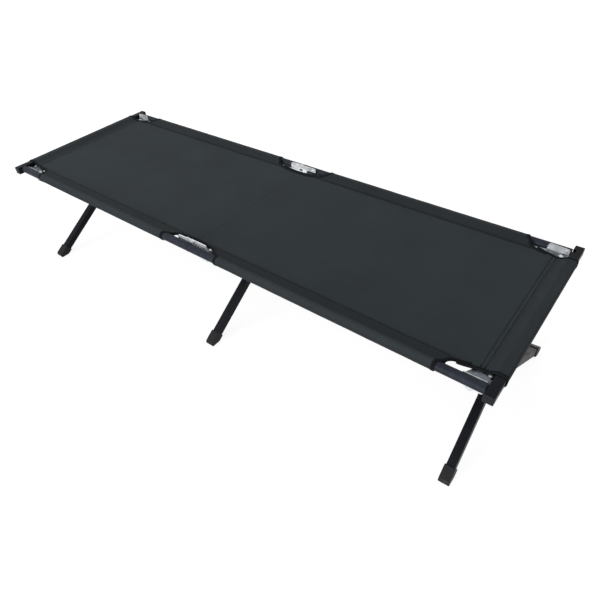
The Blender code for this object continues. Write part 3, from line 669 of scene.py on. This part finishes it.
def near_end_bracket(end_name):
    """The near corner bracket: a plate that stays below the rail's top, a shelf and the swivel's eye."""
    end, side = ENDS[end_name], SIDES["near"]
    bm = bmesh.new()
    (x0, x1), top = END_PLATE_X, END_PLATE_TOP - END_PLATE_R
    outline = [(x0, 0.4010)] + arc((x0 + END_PLATE_R, top), END_PLATE_R, 180, 90, 4)
    outline += arc((x1 - END_PLATE_R, top), END_PLATE_R, 90, 0, 4) + [(x1, 0.4030)]
    outline += arc((0.9080, 0.3970), 0.0115, 35, 180, 9) + [(0.8950, 0.3780)]
    outline += arc((END_PIN_X, PIN_Z), EYE_R, 20, -200, 14) + [(0.8740, 0.3940)]
    loops = [[(end * x, z) for x, z in loop] for loop in (outline, circle((END_PIN_X, PIN_Z), EYE_HOLE_R))]
    plate(bm, loops, side, END_PLATE_Y)
    shelf(bm, [[(end * x, inboard) for x, inboard in END_SHELF + END_SHELF_ARM[end_name]]], side, END_PLATE_Y)
    x, z, radius = END_RIVET
    rivet(bm, end * x, END_PLATE_Y, z, radius, side)
    made = finished_solid(f"corner_plate_{end_name}_near", bm, f"{end_name}_near_rail", CORNER_STEEL)
    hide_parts(f"end_bracket_{end_name}_near")


def shelf_bolt(end_name, side_name):
    """A bolt head on a corner bracket's shelf."""
    end, side = ENDS[end_name], SIDES[side_name]
    x, y, radius = SHELF_BOLT[side]
    bm = bmesh.new()
    dome(bm, (end * x, side * y, SHELF_Z + SHELF_T / 2 - 0.0002), radius, BOLT_HEIGHT)
    finished_solid(f"shelf_bolt_{end_name}_{side_name}", bm, f"{end_name}_{side_name}_rail", STEEL)


def split_shade_ring(side_name):
    """A thin black plastic ring at the foot half rail's end, put at the split to stand for the dark line of
    shade there.
    """
    place = Matrix.Translation((RING_X, SIDES[side_name] * RAIL_Y, RAIL_Z))
    place = place @ Matrix.Rotation(math.pi / 2, 4, "Y")
    bm = bmesh.new()
    bmesh.ops.create_cone(
        bm, cap_ends=True, segments=40, radius1=RING_R, radius2=RING_R, depth=RING_WIDTH, matrix=place
    )
    finished_solid(f"split_shade_ring_{side_name}", bm, f"foot_{side_name}_rail", PLASTIC)


def make_metal_and_rings():
    for side_name in SIDES:
        split_shade_ring(side_name)
        hinge_bracket(side_name)
        for end_name in ENDS:
            shelf_bolt(end_name, side_name)
    for end_name in ENDS:
        near_end_bracket(end_name)


def new_mesh(name, points, faces, maps, finish, smooth=True):
    """A mesh object; maps holds one (across, along) pair for each point."""
    mesh = bpy.data.meshes.new(name)
    mesh.from_pydata([tuple(p) for p in points], [], faces)
    layer = mesh.uv_layers.new(name="cloth")
    corner_points = np.empty(len(mesh.loops), dtype=np.int32)
    mesh.loops.foreach_get("vertex_index", corner_points)
    layer.data.foreach_set("uv", np.asarray(maps, dtype=np.float32)[corner_points].ravel())
    mesh.materials.append(finish)
    if smooth:
        mesh.shade_smooth()
    return placed(name, mesh)


def grid(points, maps, flip=False):
    """The vertices, faces and maps of a grid given as an array (rows, columns, 3)."""
    rows, columns = points.shape[:2]
    faces = []
    for i in range(rows - 1):
        for j in range(columns - 1):
            a = i * columns + j
            face = (a, a + 1, a + columns + 1, a + columns)
            faces.append(face[::-1] if flip else face)
    return points.reshape(-1, 3), faces, maps.reshape(-1, 2)


class Pile:
    """Collects several bits of mesh into one object."""

    def __init__(self):
        self.points, self.faces, self.maps = [], [], []

    def add(self, points, faces, maps):
        start = len(self.points)
        self.points.extend([tuple(p) for p in points])
        self.faces.extend([tuple(start + i for i in face) for face in faces])
        self.maps.extend([tuple(m) for m in maps])

    def build(self, name, finish, smooth=True):
        return new_mesh(name, self.points, self.faces, self.maps, finish, smooth)


def spread(*pieces):
    """Sorted, joined values from (start, end, count) runs."""
    values = [np.linspace(start, end, count) for start, end, count in pieces]
    return np.unique(np.round(np.concatenate(values), 6))


def lengths(points):
    """Running length along a polyline of points."""
    steps = np.linalg.norm(np.diff(points, axis=0), axis=1)
    return np.concatenate([[0.0], np.cumsum(steps)])


def wave(x, y, scale, seed):
    return noise.noise(Vector((x * scale, y * scale, seed)))


def fall(distance, reach):
    """1 at no distance and 0 from reach on."""
    t = min(max(distance / reach, 0.0), 1.0)
    return 1.0 - t * t * (3 - 2 * t)


def sheet_height(x, y):
    """The stretched sheet's mid surface, which sags between its seams and rises past the side ones."""
    along = 1.0 - (abs(x) / END_SEAM_X) ** 4
    across = 1.0 - (y / SEAM_Y) ** 2
    z = SEAM_Z - SAG * along * across + max(abs(y) - SEAM_Y, 0.0) * LIP_SLOPE
    reach, rise, scale, seed = SIDE_PUCKER
    z += rise * fall(abs(abs(y) - SEAM_Y), reach) * wave(abs(x), y, scale, seed)
    reach, rise, scale, seed = END_PUCKER
    return z + rise * fall(abs(abs(x) - END_SEAM_X), reach) * wave(x * 0.3, y, scale, seed)


def notch_edge(x):
    """The fabric's edge at a corner notch."""
    past = max(x - NOTCH_START, 0.0)
    if past < NOTCH_R:
        return MOUTH_Y - (MOUTH_Y - NOTCH_Y) * math.sqrt(1.0 - (1.0 - past / NOTCH_R) ** 2)
    return max(NOTCH_Y - NOTCH_SLOPE * (past - NOTCH_R), END_EDGE)


def scallop_edge(x, side):
    """The fabric's edge at the hinge."""
    share = max(1.0 - (x / SCALLOP_REACH[side]) ** SCALLOP_CURVE, 0.0) ** (1.0 / SCALLOP_CURVE)
    return MOUTH_Y - (MOUTH_Y - SCALLOP_Y[side]) * share


def mouth_start(y, side):
    """Where a sleeve begins at the hinge's scallop, at this place across the bed."""
    if y > MOUTH_Y:
        return SLEEVE_START - (SLEEVE_START - SCALLOP_REACH[side]) * fall(y - MOUTH_Y, RAIL_Y - MOUTH_Y)
    share = min((MOUTH_Y - y) / (MOUTH_Y - SCALLOP_Y[side]), 1.0)
    return SCALLOP_REACH[side] * (1.0 - share ** SCALLOP_CURVE) ** (1.0 / SCALLOP_CURVE)


def mouth_end(y):
    """Where a sleeve ends at the corner notch, at this place across the bed."""
    if y < NOTCH_Y:
        return NOTCH_START + NOTCH_R + (NOTCH_Y - y) / NOTCH_SLOPE
    if y > MOUTH_Y:
        return SLEEVE_END + (NOTCH_START - SLEEVE_END) * fall(y - MOUTH_Y, RAIL_Y - MOUTH_Y)
    share = (MOUTH_Y - y) / (MOUTH_Y - NOTCH_Y)
    return NOTCH_START + NOTCH_R * (1.0 - math.sqrt(1.0 - share ** 2))


def sheet_edge(x, side):
    """How far the sheet reaches from the middle at this place along it."""
    x = max(x, 0.0)
    if x > SLEEVE_END:
        return min(UNDER_SLEEVE, notch_edge(x))
    return min(UNDER_SLEEVE, scallop_edge(x, side))


def sheet_profile(start):
    """The sheet's path from the middle out to its end, round the bar and back under the seam.

    Each entry is (x, z or None where the sheet's own height holds, depth below that height).
    """
    top, bottom, out = BAR_TOP + OVER_BAR, BAR_BOTTOM - UNDER_BAR, BAR_OUTSIDE + PAST_BAR
    if start < 0:
        rows = [(start, None, LAP_DEPTH), (-0.0004, None, LAP_DEPTH)]
    else:
        rows = [(0.0, None, 0.0)]

    def bend(centre_z, radius, angles):
        for angle in angles:
            rows.append((*polar((out - radius, centre_z), radius, angle), 0.0))

    flat = spread((0.0005, 0.12, 25), (0.12, 0.80, 100), (0.80, 0.84, 13), (0.84, 0.880, 19))
    rows += [(x, None, 0.0) for x in flat]
    # Past the two valleys, then up to the bar and over its top
    for x in np.linspace(0.8815, FLAT_END, 42):
        dip = sum(math.exp(-(((x - row) / VALLEY_WIDTH) ** 2)) for row in STITCH_ROWS)
        rows.append((x, None, VALLEY * dip))
    for t in np.linspace(0.0, 1.0, 12)[1:]:
        ease = t * t * (1.6 - 0.6 * t)
        rows.append((FLAT_END + (BAR_INSIDE + 0.0015 - FLAT_END) * t, SEAM_Z + (top - SEAM_Z) * ease, 0.0))
    rows += [(x, top, 0.0) for x in np.linspace(BAR_INSIDE + 0.004, BAR_OUTSIDE - 0.003, 6)]
    bend(top - TOP_BEND, TOP_BEND, (75, 50, 25, 5))
    # Down its outer face, under it and back to the seam
    for z in np.linspace(top - 0.006, bottom + 0.004, 7):
        belly = 0.0010 * math.sin(math.pi * (top - z) / (top - bottom))
        rows.append((out + belly, z, 0.0))
    bend(bottom + LOW_BEND, LOW_BEND, (-10, -35, -60, -85))
    for t in np.linspace(0.0, 1.0, 7)[1:]:
        rows.append((BAR_OUTSIDE - 0.003 - (BAR_OUTSIDE - BAR_INSIDE - 0.004) * t, bottom, 0.0))
    inside = BAR_INSIDE + 0.001
    for t in np.linspace(0.0, 1.0, 9)[1:]:
        z = bottom + (SEAM_Z - 0.0017 - bottom) * t ** 0.85
        rows.append((inside + (END_SEAM_X + 0.004 - inside) * t, z, 0.0))
    rows.append((END_SEAM_X - 0.007, SEAM_Z - 0.0018, 0.0))
    return rows


def thicken(made, rim=True):
    """Gives a cloth its thickness, evenly about its mid surface."""
    cloth = made.modifiers.new("cloth", "SOLIDIFY")
    cloth.thickness = CLOTH
    cloth.offset = 0.0
    cloth.use_rim = rim


def bed_sheet(end_name):
    """Half of the bed from the middle round its end bar; the head's half laps under the foot's."""
    end = ENDS[end_name]
    rows = sheet_profile(-LAP if end < 0 else 0.0)
    shares = spread((0.0, 0.80, 29), (0.80, 0.94, 10), (0.94, 1.0, 10))
    shares = np.concatenate([-shares[::-1], shares[1:]])
    along = lengths([(x, SEAM_Z if z is None else z) for x, z, _ in rows])
    points, maps = (np.zeros((len(rows), len(shares), size)) for size in (3, 2))
    rise, scale, seed = BAR_PUCKER
    for i, (x, z, dip) in enumerate(rows):
        reach = {side: sheet_edge(x, side) for side in SIDES.values()}
        for j, share in enumerate(shares):
            y = share * reach[-1 if share < 0 else 1]
            height = (sheet_height(end * x, y) if z is None else z) - dip
            if z is not None:
                height += rise * wave(y, z * 3.0, scale, seed + end)
            points[i, j] = (end * x, y, height)
            maps[i, j] = (y, along[i])
    made = new_mesh(f"bed_sheet_{end_name}", *grid(points, maps, flip=end > 0), SHEET_CLOTH)
    made.data.materials.append(END_CLOTH)
    made.data.materials.append(TAPE)
    finishes = []
    # Painted shade: faces in the stitch valleys take the dark tape finish, for the shade along the end seams
    for x, z, dip in rows[:-1]:
        painted_valley_shade, past_seam = dip > LAP_DEPTH, x > STITCH_ROWS[1] or z is not None
        finishes += [2 if painted_valley_shade else int(past_seam)] * (len(shares) - 1)
    made.data.polygons.foreach_set("material_index", finishes)
    thicken(made, rim=False)
    return made


def sleeve_profile():
    """(y, z) points of the sleeve's loop: from the seam over the rail, round it and back to the seam."""
    loop = []
    centre = (RAIL_Y, RAIL_Z)
    touch_y, touch_z = polar(centre, SLEEVE_R, WRAP_FROM)
    for t in np.linspace(0.0, 1.0, TOP_POINTS + 1)[:-1]:
        z = SLEEVE_TOP + (touch_z - SLEEVE_TOP) * t - SLEEVE_DIP * math.sin(math.pi * t)
        loop.append((SLEEVE_EDGE + (touch_y - SLEEVE_EDGE) * t, z))
    for angle in np.linspace(WRAP_FROM, WRAP_TO, WRAP_POINTS):
        loose = SLEEVE_LOOSE * fall(abs(angle - LOOSE_AT), LOOSE_REACH)
        loop.append(polar(centre, SLEEVE_R + loose, angle))
    last_y, last_z = loop[-1]
    for t in np.linspace(0.0, 1.0, 13)[1:]:
        loop.append((last_y + (SLEEVE_EDGE - last_y) * t, last_z + (SLEEVE_LOW - last_z) * t))
    return np.array(loop)


def side_sleeve(end_name, side_name):
    """The sleeve round a half rail, with puckers at its seam that calm down towards both mouths."""
    end, side = ENDS[end_name], SIDES[side_name]
    loop = sleeve_profile()
    across = lengths(loop)
    shares = spread((0.0, 0.03, 7), (0.03, 0.97, 110), (0.97, 1.0, 7))
    points, maps = (np.zeros((len(loop), len(shares), size)) for size in (3, 2))
    seed = 20.0 + 3 * end + side
    rise, scale = SLEEVE_PUCKER
    reach, seam_rise, seam_scale = SLEEVE_SEAM_PUCKER
    for i, (y, z) in enumerate(loop):
        low, high = mouth_start(y, side), mouth_end(y)
        if y > ROUND_FROM_Y:
            outward = Vector((0.0, y - RAIL_Y, z - RAIL_Z)).normalized()
        else:
            outward = Vector((0.0, 0.0, 1.0 if i < OUTER_POINT else -1.0))
        at_seam = seam_rise * fall(y - SEAM_Y, reach)
        for j, share in enumerate(shares):
            x = low + (high - low) * share
            lift = rise * wave(x, across[i] * 0.25, scale, seed)
            lift += at_seam * wave(x, 0.0, seam_scale, seed + 1)
            near_mouth = max(0.0, CALM_SHARE - min(share, 1 - share) * CALM_PACE)
            lift *= fall(near_mouth, CALM_SHARE) * (1 - CALM_KEEP) + CALM_KEEP
            spot = Vector((x, y, z)) + outward * lift
            points[i, j] = (end * spot.x, side * spot.y, spot.z)
            maps[i, j] = (across[i], x)
    made = new_mesh(f"sleeve_{end_name}_{side_name}", *grid(points, maps, flip=end * side > 0), SLEEVE_CLOTH)
    thicken(made)
    return made


def tape_section():
    """A flat oval across a tape: (from the edge inward, along the normal)."""
    points = []
    for step in range(TAPE_POINTS):
        turn = 2 * math.pi * step / TAPE_POINTS
        c, s = math.cos(turn), math.sin(turn)
        a = math.copysign(abs(c) ** 0.55, c) * TAPE_WIDTH / 2 + TAPE_WIDTH / 2 - TAPE_OVER_EDGE
        b = math.copysign(abs(s) ** 0.75, s) * TAPE_T / 2
        points.append((a, b))
    return points


def sweep(pile, path, inward, normal, shape):
    """Adds a closed section swept along a path; inward and normal hold a unit vector for each point."""
    count, last = len(shape), len(path) - 1
    along, girth = lengths([tuple(p) for p in path]), lengths(shape)
    points, maps, faces = [], [], []
    for k, spot in enumerate(path):
        for n, (a, b) in enumerate(shape):
            points.append(spot + inward[k] * a + normal[k] * b)
            maps.append((girth[n], along[k]))
    for k in range(last):
        for n in range(count):
            m = (n + 1) % count
            faces.append((k * count + n, k * count + m, (k + 1) * count + m, (k + 1) * count + n))
    faces.append(tuple(range(count))[::-1])
    faces.append(tuple(last * count + n for n in range(count)))
    pile.add(points, faces, maps)


def run_at(path, k):
    """The way from the point before this one to the point after it."""
    return path[min(k + 1, len(path) - 1)] - path[max(k - 1, 0)]


def axes_along(path, ups):
    """Inward and normal vectors along a path, from the surface's normal at each point."""
    inward, normal = [], []
    for k, up in enumerate(ups):
        tangent = run_at(path, k).normalized()
        normal.append((up - tangent * up.dot(tangent)).normalized())
        inward.append(normal[k].cross(tangent))
    return inward, normal


def stitch(pile, spots, normals, width=STITCH_WIDTH):
    """Adds one row of stitches along a polyline, each narrower and shorter at its raised top."""
    run = lengths([tuple(p) for p in spots])
    for n in range(int(run[-1] / STITCH_PITCH)):
        ends = []
        start = n * STITCH_PITCH + STITCH_GAP
        for at in (start, start + STITCH_LENGTH):
            k = min(int(np.searchsorted(run, at, side="right")) - 1, len(run) - 2)
            t = (at - run[k]) / max(run[k + 1] - run[k], 1e-9)
            ends.append((spots[k].lerp(spots[k + 1], t), normals[k]))
        (a, up), (b, _) = ends
        out = (b - a).normalized().cross(up).normalized() * (width / 2)
        rise, sink = up * STITCH_RISE, up * -STITCH_SINK
        inset, narrow = (b - a) * STITCH_TAPER[0], out * STITCH_TAPER[1]
        corners = [a - out + sink, a + out + sink, b + out + sink, b - out + sink]
        corners += [a + inset - narrow + rise, a + inset + narrow + rise]
        corners += [b - inset + narrow + rise, b - inset - narrow + rise]
        faces = [(3, 2, 1, 0), (4, 5, 6, 7), (0, 1, 5, 4), (1, 2, 6, 5), (2, 3, 7, 6), (3, 0, 4, 7)]
        pile.add(corners, faces, [(0.0, 0.0)] * 8)


def mirrored(vectors, end, side):
    """Points or directions given for the foot end's far side, at this corner."""
    return [Vector((end * v.x, side * v.y, v.z)) for v in vectors]


def tape_along(pile, threads, path, ups, end, side):
    """A tape along an edge path given for the foot end's far side, with stitches near its inner edge."""
    spots = mirrored(path, end, side)
    inward, normal = axes_along(spots, mirrored(ups, end, side))
    if end * side > 0:
        inward = [-v for v in inward]
    sweep(pile, spots, inward, normal, tape_section())
    row = [s + i * TAPE_STITCH + n * (TAPE_T / 2 - 0.0001) for s, i, n in zip(spots, inward, normal)]
    stitch(threads, row, normal)


def built_tape(name, stitch_name, tape, threads):
    """The finished tape and its stitches."""
    return tape.build(name, TAPE), threads.build(stitch_name, THREAD, False)


def edge_point(x, z, side):
    """A point of the sheet's edge, at z or else at the sheet's own height."""
    y = sheet_edge(x, side)
    return Vector((x, y, sheet_height(x, y) if z is None else z))


def sheet_tapes(end_name):
    """The binding on the sheet's own free edges: half of each scallop and the corner notches."""
    end = ENDS[end_name]
    tape, threads = Pile(), Pile()
    first = mouth_end(UNDER_SLEEVE) - TAPE_TUCK
    rows = [(x, z) for x, z, _ in sheet_profile(0.0) if z is not None or x > first][:-2]
    for side in SIDES.values():
        xs = np.linspace(0.0, mouth_start(UNDER_SLEEVE, side) + TAPE_TUCK, 24)
        scallop = [edge_point(x, None, side) for x in xs]
        tape_along(tape, threads, scallop[::-1], [Vector((0, 0, 1))] * len(scallop), end, side)
        notch = [edge_point(x, z, side) for x, z in rows]
        runs = [run_at(notch, k) for k in range(len(notch))]
        ups = [Vector((-run.z, 0.0, run.x)).normalized() for run in runs]
        tape_along(tape, threads, notch[::-1], ups[::-1], end, side)
    return built_tape(f"sheet_tape_{end_name}", f"sheet_tape_stitch_{end_name}", tape, threads)


def mouth_path(xs, edge, mouth, loop):
    """The path round one mouth of a sleeve: in along the top layer's edge, round the rail and back below.

    Returns the points and the cloth's outward direction at each.
    """
    top = loop[: int(np.argmax(loop[:, 1]))]
    off_turn = (loop[:, 0] > RAIL_Y) + (np.arange(len(loop)) < OUTER_POINT)
    turn = int(np.argmin(np.abs(loop[:, 1] - RAIL_Z) + off_turn))
    low = loop[turn:][::-1]
    path, ups = [], []

    def follow(x, y, z, up):
        path.append(Vector((x, y, z)))
        ups.append(Vector(up))

    for x in xs:
        follow(x, edge(x), np.interp(edge(x), top[:, 0], top[:, 1]), TOP_NORMAL)
    for y, z in top[top[:, 0] > MOUTH_Y + 0.001]:
        follow(mouth(y), y, z, TOP_NORMAL)
    for y, z in loop[len(top) : turn]:
        follow(mouth(y), y, z, Vector((0.0, y - RAIL_Y, z - RAIL_Z)).normalized())
    for x in xs[::-1]:
        if edge(x) <= low[-1, 0]:
            follow(x, edge(x), np.interp(edge(x), low[:, 0], low[:, 1]), LOW_NORMAL)
    return path, ups


def sleeve_tapes(end_name, side_name):
    """The binding round both mouths of a side sleeve, and the two rows of stitches along its seam."""
    end, side = ENDS[end_name], SIDES[side_name]
    tape, threads = Pile(), Pile()
    loop = sleeve_profile()
    shares = np.sin(np.linspace(0.0, 1.0, 30) * math.pi / 2)
    first = mouth_start(max(BOUND_FROM_Y, SCALLOP_Y[side]), side)
    xs = first + (SCALLOP_REACH[side] - first) * shares
    path, ups = mouth_path(xs, lambda x: scallop_edge(x, side), lambda y: mouth_start(y, side), loop)
    tape_along(tape, threads, path, ups, end, side)
    first = mouth_end(BOUND_FROM_Y)
    path, ups = mouth_path(first + (NOTCH_START - first) * shares, notch_edge, mouth_end, loop)
    tape_along(tape, threads, path[::-1], ups[::-1], end, side)
    top = loop[:TOP_POINTS]
    for y in SEAM_ROWS:
        z = np.interp(y, top[:, 0], top[:, 1]) + CLOTH / 2
        xs = np.linspace(mouth_start(y, side) + ROW_INSET, mouth_end(y) - ROW_INSET, 120)
        row = mirrored([Vector((x, y, z)) for x in xs], end, side)
        stitch(threads, row, [Vector((0.0, -side * 0.2, 0.98))] * len(row))
    name = f"{end_name}_{side_name}"
    return built_tape(f"sleeve_tape_{name}", f"sleeve_stitch_{name}", tape, threads)


def end_seam_stitches(end_name):
    """Two rows of stitches across the sheet, at the bottom of their valleys."""
    end = ENDS[end_name]
    threads = Pile()
    for x in STITCH_ROWS:
        ys = np.linspace(END_ROW_INSET - END_EDGE, END_EDGE - END_ROW_INSET, 90)
        row = [Vector((end * x, y, sheet_height(end * x, y) + CLOTH / 2 - VALLEY)) for y in ys]
        stitch(threads, row, [Vector((0.0, 0.0, 1.0))] * len(row), END_STITCH_WIDTH)
    return threads.build(f"end_seam_stitch_{end_name}", THREAD, False)


def make_fabric():
    """Sheets, sleeves, tapes and stitches, each on its rail."""
    for end_name in ENDS:
        near = f"{end_name}_near_rail"
        sheet = bed_sheet(end_name)
        seam = end_seam_stitches(end_name)
        tape, tape_stitch = sheet_tapes(end_name)
        for piece in (sheet, seam, tape, tape_stitch):
            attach(piece, near)
            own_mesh(piece)
        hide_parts(f"bed_panel_{end_name}", f"end_sleeve_{end_name}")
        for side_name in SIDES:
            sleeve = side_sleeve(end_name, side_name)
            tape, tape_stitch = sleeve_tapes(end_name, side_name)
            for piece in (sleeve, tape, tape_stitch):
                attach(piece, f"{end_name}_{side_name}_rail")
            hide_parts(f"side_sleeve_{end_name}_{side_name}")


# Camera at the photograph's angle, for a square picture
FOCAL_PIXELS = 515.1
PICTURE = 600
SENSOR = 36.0
CAMERA_TURN = (47.903, 3.231, 37.703)
CAMERA_PLACE = (1.0686, -1.0434, 1.3059)

# Lights: place, target, size and power
LIGHTS = {
    "key": ((-1.6, -2.6, 2.6), (0.0, 0.0, 0.3), (2.2, 1.6), 42),
    "front": ((0.6, -3.2, 1.1), (0.0, 0.0, 0.4), (2.6, 1.0), 80),
    "top": ((0.2, 0.8, 3.2), (0.0, 0.0, 0.3), (3.0, 2.0), 20),
}
WHITE = (1.0, 1.0, 1.0, 1.0)
WORLD_LIGHT = 0.25

# The floor: its half width, how far below the soles it lies, its two greys, and its own glow to the camera,
# which grows to white between two distances from the middle so that no edge shows
FLOOR_HALF = 9.0
FLOOR_DROP = 0.0005
FLOOR_GREYS = ((0.27, 0.27, 0.27, 1.0), (0.29, 0.29, 0.29, 1.0))
GLOW_REACH = (1.1, 2.4)
GLOW = (0.87, 1.0)


def make_camera():
    data = bpy.data.cameras.new("photo_camera")
    data.sensor_width = SENSOR
    data.lens = SENSOR * FOCAL_PIXELS / PICTURE
    camera = placed("photo_camera", data)
    camera.location = CAMERA_PLACE
    camera.rotation_euler = Euler([math.radians(angle) for angle in CAMERA_TURN], "XYZ")
    bpy.context.scene.camera = camera


def area_light(name, place, target, size, power):
    data = bpy.data.lights.new(name, "AREA")
    data.shape = "RECTANGLE"
    data.size, data.size_y = size
    data.energy = power
    lamp = placed(name, data)
    lamp.location = place
    lamp.rotation_euler = (Vector(target) - Vector(place)).to_track_quat("-Z", "Y").to_euler()


def make_floor():
    """A pale floor that keeps the cot's shadow and shows white to the camera where it isn't shaded."""
    mesh = bpy.data.meshes.new("floor")
    corners = [(x * FLOOR_HALF, y * FLOOR_HALF, 0) for x, y in ((-1, -1), (1, -1), (1, 1), (-1, 1))]
    mesh.from_pydata(corners, [], [(0, 1, 2, 3)])
    floor = placed("floor", mesh)
    floor.location.z = -FLOOR_DROP
    nodes = new_material("pale_floor")
    where = nodes.place()
    distance = nodes.add("ShaderNodeVectorMath", {0: where}, operation="LENGTH").outputs["Value"]
    inputs = {
        "Base Color": nodes.mix(nodes.remap(nodes.noise(where, 3.0, 2.0), *NOISE_BAND), *FLOOR_GREYS),
        "Roughness": 0.9,
        "Specular IOR Level": 0.0,
        "Emission Color": WHITE,
        "Emission Strength": nodes.times(nodes.seen(), nodes.remap(distance, *GLOW_REACH, *GLOW)),
    }
    floor.data.materials.append(nodes.shaded(inputs))


def make_world():
    """Plain white to the camera, and a dimmer light on the cot."""
    nodes = Nodes(bpy.data.worlds.new("studio"))
    strength = nodes.remap(nodes.seen(), 0.0, 1.0, WORLD_LIGHT, 1.0)
    bpy.context.scene.world = nodes.shaded({"Color": WHITE, "Strength": strength}, "Background")


def make_studio():
    make_camera()
    make_floor()
    make_world()
    for name, settings in LIGHTS.items():
        area_light(name, *settings)


dress_cad_nodes()
make_metal_and_rings()
make_fabric()
make_studio()
bpy.context.scene.view_settings.view_transform = "Standard"
